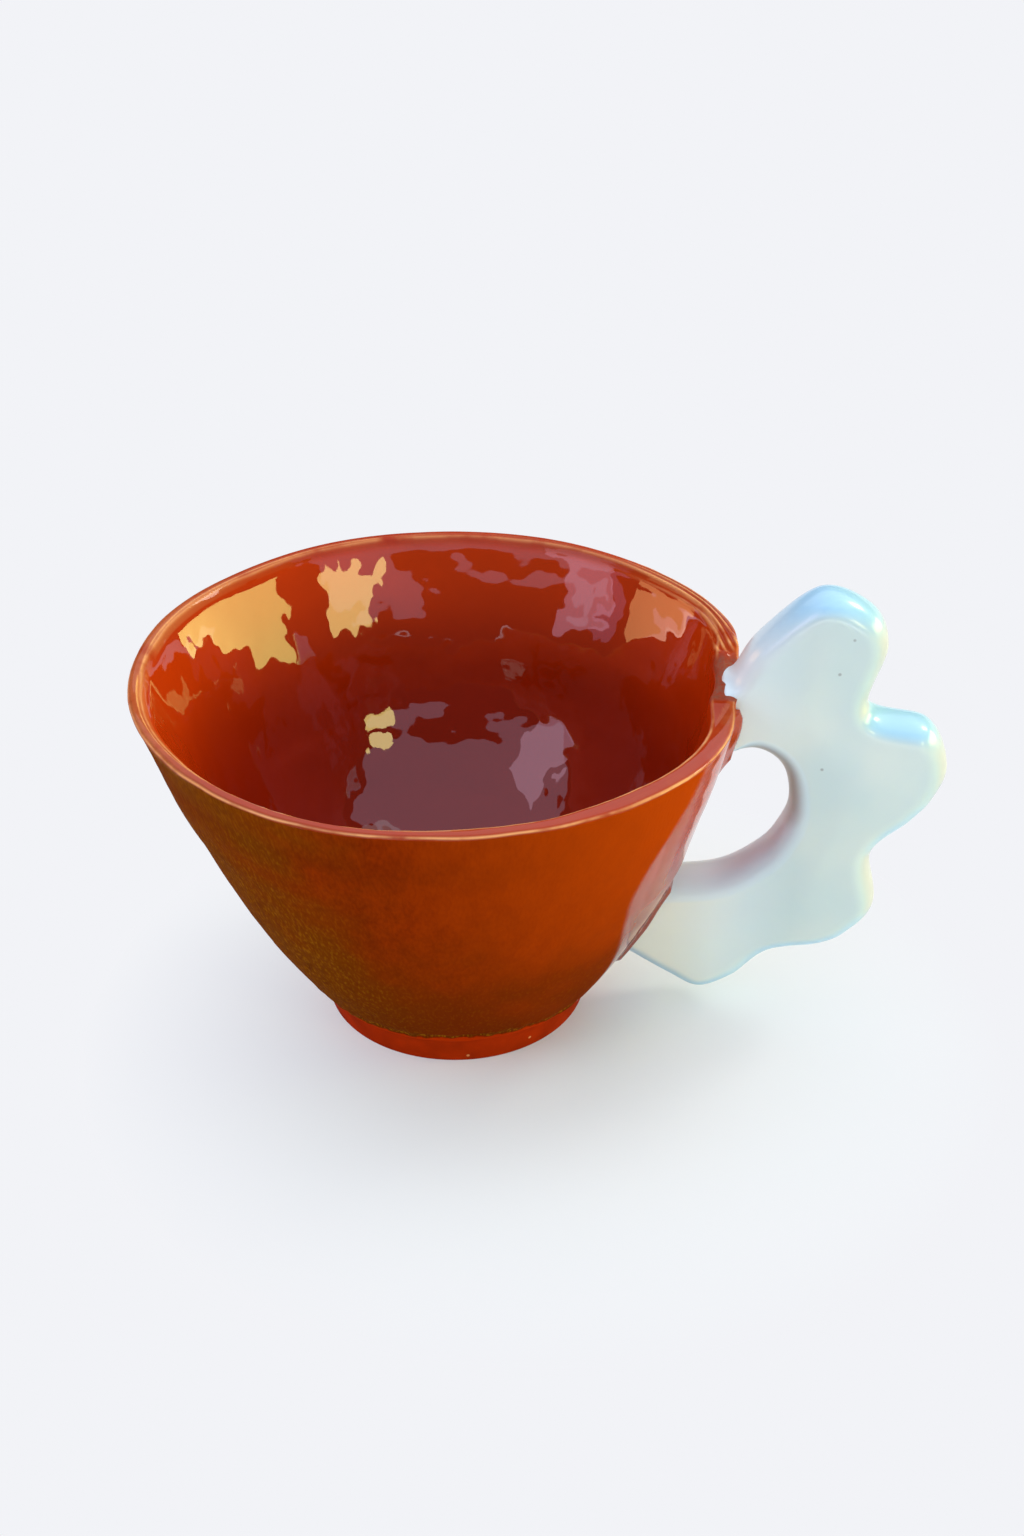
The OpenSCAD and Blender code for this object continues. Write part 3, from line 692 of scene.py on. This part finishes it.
def wall_profile(b):
    """Up the outside, over the rim, down the inside and under, with marks for the inside and the edges."""
    groove_z = np.append(FOOT_GAP, np.linspace(0.5, 4.1, 10) * MM)
    out_z = np.append(b.foot_h + groove_z, np.linspace(b.foot_h + 4.6 * MM, lip_z(b), 90))
    # The lower edge is rounded down to the foot.
    tuck = 0.9 * MM * np.exp(-(out_z - b.foot_h) / (0.5 * MM))
    outside = np.stack([outer_r(b, out_z) - tuck, out_z], -1)
    top = b.cup_h
    edge_end = outside[-1]
    rim_in = float(inner_r(b, lip_z(b)))
    t = np.linspace(0, 1, 9)[1:, None]
    edge = bezier(edge_end[None], np.array([[edge_end[0] + 0.1 * MM, top]]),
                  np.array([[edge_end[0] - b.rim_edge, top]]), t)
    land_r = np.linspace(edge_end[0] - b.rim_edge, rim_in + b.rim_roll, 16)[1:]
    land = np.stack([land_r, np.full_like(land_r, top)], -1)
    roll_z = top - b.rim_roll
    roll_end = np.array([[float(inner_r(b, roll_z)), roll_z]])
    roll = bezier(land[-1][None], np.array([[rim_in + 0.2 * b.rim_roll, top]]), roll_end, t)
    in_z = np.linspace(roll_z, COIL_HIGH.z, 84)[1:]
    inner = np.stack([inner_r(b, in_z), in_z], -1)
    hid_z = np.linspace(COIL_HIGH.z, b.foot_h + FOOT_GAP, 7)[1:]
    hidden = np.stack([inner_r(b, hid_z), hid_z], -1)
    parts = (outside, edge, land, roll, inner, hidden, outside[:1])

    def mark(*values):
        return np.concatenate([np.full(len(p), v) for p, v in zip(parts, values)])

    inside = mark(0, 0.7, 1, 1, 1, 1, 0)
    # The edge marks give the rim's pale lines, partly thin glaze and partly painted highlight
    outer_line = np.sin(np.pi * t[:, 0]) ** 4
    inner_line = np.sin(np.pi * np.sqrt(t[:, 0])) ** 6
    thin = mark(0, outer_line, 0.02, inner_line, 0, 0, 0)
    return np.concatenate(parts), {"inside": inside, "thin": thin, "gloss": inside}


def shape_rim(b, mesh):
    """Marks of the hand on the rim: uneven height, a lapped seam, fine ridges, and where the handle is let in a
    torn edge between a bead and a pinched lump. The glaze is glossy in front and beside the handle."""
    co = points_of(mesh)
    y, z = co[:, 1].copy(), co[:, 2].copy()
    angle, rho, out = about_axis(b, co)
    ring = out * b.rim_d / 2
    right = co[:, 0] > 0
    on_top = ease(z, b.cup_h - 2.4 * MM, b.cup_h - 0.4 * MM)
    near_top = ease(z, b.cup_h - 22 * MM, b.cup_h)
    across = (b.rim_d / 2 - rho) / (1.05 * b.wall_t - drawn_thin(angle))
    front = between(angle, *FRONT)
    # Drop is in millimetres, down from the rim's even height.
    drop = near_top * (0.15 + 0.3 * ripple(ring, 26 * MM, 3)) * (1 - 0.8 * bell(angle, 95, 40))
    # The land is flat in front and more domed elsewhere.
    drop += on_top * (0.06 + 0.3 * (1 - front)) * np.clip(2 * across - 1, -1, 1) ** 2
    # A seam where the wall's two ends are lapped: the rim's inner part lies lower, from the left to the front.
    seam = between(angle, *SEAM)
    drop += on_top * seam * ease(across, 0.6, 0.68) * 0.5
    # Fine ridges on the rim behind the handle, which end in a bead.
    ridged = between(angle, *RIDGED)
    wave = 2 * np.pi * across * RIDGES
    drop += on_top * ridged * 0.16 * (1 + np.cos(wave))
    # Where the handle is let in, the rim is torn: it slopes down to the tear in front, and stops short behind.
    slant = (2.6 + 3.4 * np.clip(across, 0, 1)) * MM
    off = np.where(y < 0, (-y - slant) / (2.6 * MM), (y - 6.4 * MM) / (1.4 * MM))
    root = (1 - ease(off, 0, 1)) * right
    drop += on_top * root * (0.6 + 0.35 * ripple(co, 1.4 * MM, 9))
    drop -= 0.8 * bell(co[:, 0], brink_x(b) + 2.6 * MM, 1.2 * MM) * bell(y, 7.7 * MM, 1.1 * MM) * on_top
    # The outer edge wanders a little along the front.
    wander = np.clip(1 - across * 1.6, 0, 1) * ripple(ring, 7 * MM, 5)
    co[:, :2] -= out * (0.18 * MM * (1 + wander) * front * on_top)[:, None]
    co[:, 2] -= drop * MM
    # Clay pinched over the handle's front edge.
    lump = bell(y, -7.0 * MM, 1.7 * MM) * bell(z, 67.4 * MM, 2.2 * MM) * right * (across < 0.5)
    co[:, 0] += lump * 1.5 * MM
    move_points(mesh, co)
    # Glossy glaze runs out beside the handle as far as a wavy brim, given in degrees from the handle.
    wet = np.minimum(angle, 360 - angle)
    brim = 33 + 11 * bell(z, 43 * MM, 14 * MM) + 2 * ripple(co, 12 * MM, 21)
    skin = rho > outer_r(b, z) - SKIN
    inside, thin = (np.empty(len(co), np.float32) for _ in range(2))
    mesh.attributes["inside"].data.foreach_get("value", inside)
    mesh.attributes["thin"].data.foreach_get("value", thin)
    gloss = inside * (1 - on_top * (0.65 - 0.3 * front))
    attribute(mesh, "gloss", np.maximum(gloss, 0.8 * (1 - ease(wet, brim - 1.5, brim + 0.5)) * skin))
    # The glaze is thin and pale on the edges, along the seam and its run-out on the left, on the ridges and a little
    # on the land behind; these pale lines are partly painted highlight, with a painted glint on the outer edge at the
    # front right.
    glint = 1 + 1.2 * bell(angle, 312, 14) * (across < 0.5)
    line = on_top * seam * bell(across, 0.62, 0.05)
    line += on_top * between(angle, *RUN_OUT) * bell(across, 0.7, 0.05) * 0.7
    line += on_top * ridged * np.clip(np.cos(wave + np.pi), 0, 1) * 0.8
    land = (0.05 + 0.17 * ease(angle, 130, 170)) * on_top * (1 - front) * (across < 1.2)
    attribute(mesh, "thin", np.clip(thin * glint * (0.45 + 0.55 * front) + line + land, 0, 1) * (1 - root))
    attribute(mesh, "torn", root * on_top)


class MUG_OT_bowl_wall(bpy.types.Operator):
    """Turns the leaning wall, forms its rim by hand and glazes it"""
    bl_idname = "mug.bowl_wall"
    bl_label = "Bowl wall"

    def execute(self, context):
        b = context.scene.mug_bowl
        profile, marks = wall_profile(b)
        mesh = turned("bowl_wall", profile, marks, "amber_glaze", b)
        shape_rim(b, mesh)
        finished("bowl_wall", mesh, "amber_glaze", "cup_wall")
        return {"FINISHED"}


class MUG_OT_bowl_bottom(bpy.types.Operator):
    """Turns the smeared corner coil and the floor slab inside the wall"""
    bl_idname = "mug.bowl_bottom"
    bl_label = "Bowl bottom"

    def execute(self, context):
        b = context.scene.mug_bowl
        floor_z, coil_z = FLOOR_HIGH.z, COIL_HIGH.z
        # The coil's hollow leaves the wall along the wall's own slope, and meets the floor flat.
        top = np.array([[float(inner_r(b, coil_z)), coil_z]])
        slope = (top[0, 0] - float(inner_r(b, coil_z - 0.1 * MM))) / (0.1 * MM)
        glaze_t = 0.4 * MM
        level = floor_z + glaze_t
        corner = np.array([[top[0, 0] - slope * (coil_z - level), level]])
        foot = float(inner_r(b, floor_z))
        toe = np.array([[foot - b.coil_w, level]])
        # Over its top edge the coil lies as a film on the wall, so that no seam shows.
        film_top = coil_z + 6 * MM
        film_z = np.linspace(film_top, coil_z, 14)[:-1]
        film = np.stack([inner_r(b, film_z) + np.linspace(0.04, -0.02, 14)[:-1] * MM, film_z], -1)
        hollow = bezier(top - [[0.02 * MM, 0]], corner, toe, np.linspace(0, 1, 110)[:, None])
        back_z = np.linspace(floor_z, film_top, 10)
        back = np.stack([inner_r(b, back_z) + 0.5 * MM, back_z], -1)
        coil = np.concatenate([back, film, hollow, [[toe[0, 0], floor_z]], back[:1]])
        under = FLOOR_LOW.z + 0.1 * MM
        brim = floor_z - 0.2 * MM
        spread = np.linspace(toe[0, 0], 0, 12)
        slab = np.concatenate([[[0, under], [foot - 3 * MM, under], [foot - 0.5 * MM, brim], [toe[0, 0], brim]],
                               np.stack([spread, np.full(12, level)], -1)])
        for name, ring, node in (("bowl_corner", coil, "corner_coil"), ("bowl_floor", slab, "cup_floor")):
            marks = dict.fromkeys(("inside", "gloss"), np.ones(len(ring)))
            finished(name, turned(name, ring, marks, "amber_glaze", b), "amber_glaze", node)
        return {"FINISHED"}


class MUG_OT_foot(bpy.types.Operator):
    """Turns the foot ring, with its rounded edges"""
    bl_idname = "mug.foot"
    bl_label = "Foot ring"

    def execute(self, context):
        b = context.scene.mug_bowl
        # The ring reaches a little into the wall, so that no gap shows.
        top = b.foot_h + 0.3 * MM
        out_top = FOOT_HIGH.y
        out = out_top - b.foot_taper
        inn = out - b.foot_w
        turn = np.radians(np.linspace(0, 90, 7))[:, None]
        soft = 0.6 * MM
        quarter = np.concatenate([np.sin(turn), 1 - np.cos(turn)], 1) * soft
        outer_edge = np.array([[out - soft, 0]]) + quarter
        inner_edge = (np.array([[inn + soft, 0]]) + quarter * [-1, 1])[::-1]
        side = np.linspace(outer_edge[-1], [out_top, top], 12)[1:]
        back = np.linspace([out_top - b.foot_w, top], inner_edge[0], 8)[:-1]
        base = np.linspace([inn + soft, 0], [out - soft, 0], 8)[1:]
        ring = np.concatenate([outer_edge, side, back, inner_edge, base])
        finished("foot", turned("foot", ring, {}, "foot_clay", b, wobble=0.0), "foot_clay", "foot_ring")
        return {"FINISHED"}


def smooth_line(points, s):
    """A smooth curve through points, at shares s of its length in points, and its direction there."""
    pts = np.vstack([2 * points[0] - points[1], points, 2 * points[-1] - points[-2]])
    last = len(points) - 1
    i = np.minimum(last - 1, np.floor(s * last).astype(int))
    t = (s * last - i)[:, None]
    a, b, c, d = (pts[i + k] for k in range(4))
    place = 0.5 * (2 * b + (c - a) * t + (2 * a - 5 * b + 4 * c - d) * t ** 2 + (3 * b - a - 3 * c + d) * t ** 3)
    way = 0.5 * ((c - a) + 2 * (2 * a - 5 * b + 4 * c - d) * t + 3 * (3 * b - a - 3 * c + d) * t ** 2)
    return place, way / np.linalg.norm(way, axis=1)[:, None]


def evened(vectors, width):
    """Vectors along a line, each averaged with its neighbours over a width in stations."""
    weight = np.exp(-(np.arange(-3 * width, 3 * width + 1) / width) ** 2 / 2)
    padded = np.pad(vectors, ((3 * width, 3 * width), (0, 0)), mode="edge")
    return np.stack([np.convolve(column, weight / weight.sum(), "valid") for column in padded.T], -1)


def handle_lines(b, h):
    """The handle's outline and the finger hole's edge, in its own plane of x and z."""
    low, high = (handle_z(b, h, sum(root) / 2) for root in (LOWER_ROOT, UPPER_ROOT))
    low_x, high_x = (float(outer_r(b, z)) for z in (low, high))

    def drawn(p):
        z = handle_z(b, h, p[1])
        return low_x + (high_x - low_x) * (z - low) / (high - low) + h.reach * p[0] / 100, z

    def root(q):
        z = handle_z(b, h, q)
        return float(middle_x(b, z) + outer_r(b, z) - dent(b, 0.0, z)) - 1.5 * MM, z

    # At the top the clay fills the notch in the rim, as far as the rim's inner edge.
    let_in = [(brink_x(b) + x * MM, b.cup_h + z * MM) for x, z in LET_IN]
    outline = let_in + [drawn(p) for p in LOBES] + [root(LOWER_ROOT[0])]
    finger = [root(UPPER_ROOT[0])] + [drawn(p) for p in HOLE] + [root(LOWER_ROOT[1])]
    return np.array(outline), np.array(finger)


class MUG_OT_handle(bpy.types.Operator):
    """Sweeps the lobed slab round the finger hole, with rounded edges and crowned faces"""
    bl_idname = "mug.handle"
    bl_label = "Handle"

    def execute(self, context):
        b, h = context.scene.mug_bowl, context.scene.mug_handle
        outline, finger = handle_lines(b, h)
        s = np.linspace(0, 1, h.stations + 1)
        inner, inner_way = smooth_line(finger, s)
        outer, outer_way = smooth_line(outline, s)
        half = h.thick / 2 - h.crown
        turn = np.radians(np.linspace(-90, 90, 25))
        # The slab's edges are square where it is let into the rim, and round a little further on.
        soft = (0.12 + 0.88 * ease(s, 0.02, 0.13))[:, None]
        sides = []
        for line, way, edge, sign in ((inner, inner_way, h.hole_edge, 1), (outer, outer_way, h.edge, -1)):
            inward = evened(np.stack([-way[:, 1], way[:, 0]], -1) * sign * soft * edge, 7)
            sides.append((line, inward, edge, sign))
        near, far = (line + inward for line, inward, _, _ in sides)
        border = np.concatenate([inner, outer])
        rows = []
        for line, inward, edge, order in sides:
            depth = np.sin(turn) * edge + np.sign(turn) * (half - edge) * np.abs(np.sin(turn)) ** 0.5
            for k in range(len(turn))[::order]:
                p = line + inward * (1 - math.cos(turn[k]))
                rows.append(np.stack([p[:, 0], np.full(len(s), depth[k]), p[:, 1]], -1))
            for t in np.linspace(0, 1, 17)[1:-1][::order]:
                p = near + (far - near) * t
                # The faces swell smoothly away from every edge.
                apart = np.linalg.norm(p[:, None] - border[None], axis=2).min(1)
                bulge = h.crown * (1 - np.exp(-(np.maximum(0, apart - h.edge) / (7 * MM)) ** 2))
                rows.append(np.stack([p[:, 0], order * (half + bulge), p[:, 1]], -1))
        grid = np.stack(rows, 1)
        mesh = mesh_from_grid("handle_slab", grid, True)
        around_hole = np.zeros(grid.shape[:2])
        around_hole[:, :len(turn)] = np.cos(turn) ** 0.5
        attribute(mesh, "hole", np.append(around_hole.ravel(), [0, 0]))
        tidy_mesh(mesh)
        mesh.materials.append(glaze("pearl_glaze"))
        finished("handle_slab", mesh, "pearl_glaze", "handle")
        return {"FINISHED"}


def smear(name, b, h, root, ridge, lump):
    """A pad of clay on the wall's own face round a root of the handle, closed underneath. It runs out to all
    sides, and has a ridge close to the handle or a lump beside it, of the heights given."""
    skin = BVHTree.FromObject(bpy.data.objects["bowl_wall"], bpy.context.evaluated_depsgraph_get())
    low, high = (handle_z(b, h, q) for q in root)
    wide, spread = h.thick / 2, h.lute_spread
    # The pad's brim lies a little under the wall's face, and its underside deeper in the wall.
    sunk, buried = 0.12 * MM, 1.2 * MM
    ys = np.linspace(-wide - spread, wide + spread, 67)
    zs = np.linspace(low - spread, min(high + spread, b.cup_h - 3.4 * MM), 71)
    up, under = [], []
    for z in zs:
        for y in ys:
            hit, normal, _, _ = skin.ray_cast(Vector((0.2, y, z)), Vector((-1, 0, 0)))
            if hit is None:
                raise RuntimeError("the wall has no face under the handle's root")
            gap = Vector((max(0, abs(y) - wide), max(0, low - z, z - high))).length
            height = h.lute_t * max(0, 1 - gap / spread) ** 2 + ridge * bell(gap, 0.6 * MM, 0.35 * MM)
            height += lump * bell(y, -7 * MM, 1.6 * MM) * bell(z, 62 * MM, 3.5 * MM) - sunk
            up.append(hit + normal * height)
            under.append(hit - normal * buried)
    n, m = len(zs), len(ys)
    faces = []
    for i in range(n - 1):
        for j in range(m - 1):
            k = i * m + j
            faces.append((k, k + 1, k + m + 1, k + m))
            k += n * m
            faces.append((k, k + m, k + m + 1, k + 1))
    border = list(range(m)) + [i * m + m - 1 for i in range(1, n)]
    border += [(n - 1) * m + j for j in range(m - 2, -1, -1)] + [i * m for i in range(n - 2, 0, -1)]
    for i, k in enumerate(border):
        after = border[(i + 1) % len(border)]
        faces.append((k, k + n * m, after + n * m, after))
    mesh = bpy.data.meshes.new(name)
    mesh.from_pydata([tuple(p) for p in up + under], [], faces)
    tidy_mesh(mesh)
    attribute(mesh, "inside", np.full(len(mesh.vertices), 0.4))
    attribute(mesh, "gloss", np.full(len(mesh.vertices), 0.9))
    mesh.materials.append(glaze("amber_glaze"))
    return mesh


class MUG_OT_lutes(bpy.types.Operator):
    """Smears clay round the handle's two roots, with a ridge along the lower one and a lump at the rim"""
    bl_idname = "mug.lutes"
    bl_label = "Lutes"

    def execute(self, context):
        b, h = context.scene.mug_bowl, context.scene.mug_handle
        for name, node, root, ridge, lump in (("lower_smear", "lower_lute", LOWER_ROOT, 0.35 * MM, 0),
                                              ("upper_smear", "upper_lute", UPPER_ROOT, 0, 0.7 * MM)):
            finished(name, smear(name, b, h, root, ridge, lump), "amber_glaze", node)
        return {"FINISHED"}


class MUG_OT_stage(bpy.types.Operator):
    """Lays the pale floor, and sets the softboxes, the room's light and the camera"""
    bl_idname = "mug.stage"
    bl_label = "Stage"

    def execute(self, context):
        scene = context.scene
        self.floor(scene.mug_colours)
        # Softboxes: name, compass (0 at the camera, 90 at the handle), height angle, distance, width, height,
        # colour and brightness of the face, and how far it is rolled.
        for panel in (("overhead", -5, 62, 1.15, 2.8, 1.44, "CCE0FF", 1.18, 0),
                      ("front_low", 5, 6, 1.3, 1.6, 0.25, "E4EEF6", 2.2, 0),
                      ("sky_back", 180, 62, 1.15, 2.0, 1.5, "F0F8FF", 1.22, 0),
                      ("warm_side", 104, 14, 1.1, 0.98, 0.3, "FFFF90", 6.9, -12),
                      ("warm_front", 46, 24, 1.1, 0.2, 0.2, "FFEC90", 9.0, 20),
                      ("pink_left", -52, 30, 1.1, 0.36, 0.46, "F4CCEA", 2.5, -15),
                      ("tan_left", -98, 13, 1.1, 0.62, 0.22, "FFC07C", 4.4, 10),
                      ("mauve_left", -104, 5, 1.1, 0.5, 0.15, "D8C4F0", 1.3, 0),
                      ("mauve_front", -66, 19, 1.1, 0.3, 0.15, "D0B8E8", 1.1, -20),
                      ("glint", 125, 38, 1.1, 0.25, 0.25, "FFF8E8", 14.0, 0)):
            self.softbox(scene, *panel)
        world = bpy.data.worlds.new("Room")
        world.use_nodes = True
        world.node_tree.nodes.clear()
        sky = add(world.node_tree, "ShaderNodeBackground", {"Color": linear("E9ECF6"), "Strength": 0.08})
        add(world.node_tree, "ShaderNodeOutputWorld", {"Surface": sky})
        scene.world = world
        self.camera(scene)
        scene.view_settings.view_transform = "Standard"
        return {"FINISHED"}

    def softbox(self, scene, name, compass, rise, away, wide, tall, tone, bright, roll):
        """A lit panel that faces the bowl's middle."""
        lamp = bpy.data.lights.new(name, "AREA")
        lamp.shape = "RECTANGLE"
        lamp.size, lamp.size_y = wide, tall
        lamp.color = linear(tone)[:3]
        lamp.energy = bright * math.pi * wide * tall
        holder = bpy.data.objects.new(name, lamp)
        a, e = math.radians(compass), math.radians(rise)
        way = Vector((math.sin(a) * math.cos(e), -math.cos(a) * math.cos(e), math.sin(e)))
        holder.location = way * away + Vector((0, 0, 0.05))
        holder.rotation_euler = (way.to_track_quat("Z", "Y") @ Quaternion((0, 0, 1), math.radians(roll))).to_euler()
        scene.collection.objects.link(holder)

    def floor(self, c):
        """A round floor whose edge rises into a low backdrop. It shows pale, and keeps the shadow."""
        reach, rise = 2.0, 0.36
        ring = [(r, 0.0) for r in np.linspace(0, reach, 12)]
        ring += [(reach + rise * math.sin(t), rise * (1 - math.cos(t))) for t in np.linspace(0.15, 1.5, 10)]
        turn = np.linspace(0, 2 * math.pi, 72, endpoint=False)
        grid = np.array([[(r * math.cos(t), r * math.sin(t), z) for t in turn] for r, z in ring])
        mesh = mesh_from_grid("floor", grid, False)
        tidy_mesh(mesh)
        floor = link("floor", mesh)
        material, tree = new_material("Matt white paper sweep")
        paper = add(tree, "ShaderNodeBsdfDiffuse", {"Color": linear("ECF4F6")})
        glow = add(tree, "ShaderNodeEmission", {"Color": c.floor, "Strength": 1.0})
        path = add(tree, "ShaderNodeLightPath").node.outputs
        seen = add(tree, MATH, (path["Is Camera Ray"], path["Is Glossy Ray"]), operation="MAXIMUM")
        seen = add(tree, MATH, (seen, path["Is Transmission Ray"]), operation="MAXIMUM")
        # Near the mug the paper shows as it is lit, shadow and all. Further out it fades to an even pale ground.
        place = add(tree, "ShaderNodeTexCoord", out="Object")
        out = add(tree, VECTOR, (place, (17 * MM, -12 * MM, 0)), "Value", **APART)
        even = add(tree, SPAN, (out, 6 * MM, 85 * MM, 0.14, 1.0))
        share = add(tree, MATH, (seen, even), **TIMES)
        add(tree, "ShaderNodeOutputMaterial", {"Surface": add(tree, "ShaderNodeMixShader", (share, paper, glow))})
        mesh.materials.append(material)

    def camera(self, scene):
        """The photograph's view, from in front and above, with a lens of 52 mm."""
        look_down, look_left = math.radians(31.82), math.radians(4.23)
        lens = bpy.data.cameras.new("camera")
        lens.sensor_width = 36
        lens.lens = 51.98
        lens.clip_start, lens.clip_end = 0.01, 20
        holder = bpy.data.objects.new("camera", lens)
        holder.location = (35.54 * MM, -338.14 * MM, 258.8 * MM)
        holder.rotation_euler = (math.pi / 2 - look_down, 0, look_left)
        scene.collection.objects.link(holder)
        scene.camera = holder


class MUG_PT_panel(bpy.types.Panel):
    """The mug's pieces and stage"""
    bl_idname = "MUG_PT_panel"
    bl_label = "Hand-built mug"
    bl_space_type = "VIEW_3D"
    bl_region_type = "UI"
    bl_category = "Mug"

    def draw(self, context):
        for operator in OPERATORS:
            self.layout.operator(operator.bl_idname)
        for group in (context.scene.mug_bowl, context.scene.mug_handle, context.scene.mug_colours):
            for name in group.__annotations__:
                self.layout.prop(group, name)


OPERATORS = (MUG_OT_stage, MUG_OT_bowl_wall, MUG_OT_bowl_bottom, MUG_OT_foot, MUG_OT_handle, MUG_OT_lutes)
CLASSES = (MugBowl, MugHandle, MugColours, *OPERATORS, MUG_PT_panel)


def register():
    for item in CLASSES:
        bpy.utils.register_class(item)
    bpy.types.Scene.mug_bowl = PointerProperty(type=MugBowl)
    bpy.types.Scene.mug_handle = PointerProperty(type=MugHandle)
    bpy.types.Scene.mug_colours = PointerProperty(type=MugColours)


def unregister():
    for name in ("mug_bowl", "mug_handle", "mug_colours"):
        delattr(bpy.types.Scene, name)
    for item in reversed(CLASSES):
        bpy.utils.unregister_class(item)


def main():
    register()
    bpy.ops.mug.stage()
    bpy.ops.mug.bowl_wall()
    bpy.ops.mug.bowl_bottom()
    bpy.ops.mug.foot()
    bpy.ops.mug.handle()
    bpy.ops.mug.lutes()


if __name__ == "__main__":
    main()
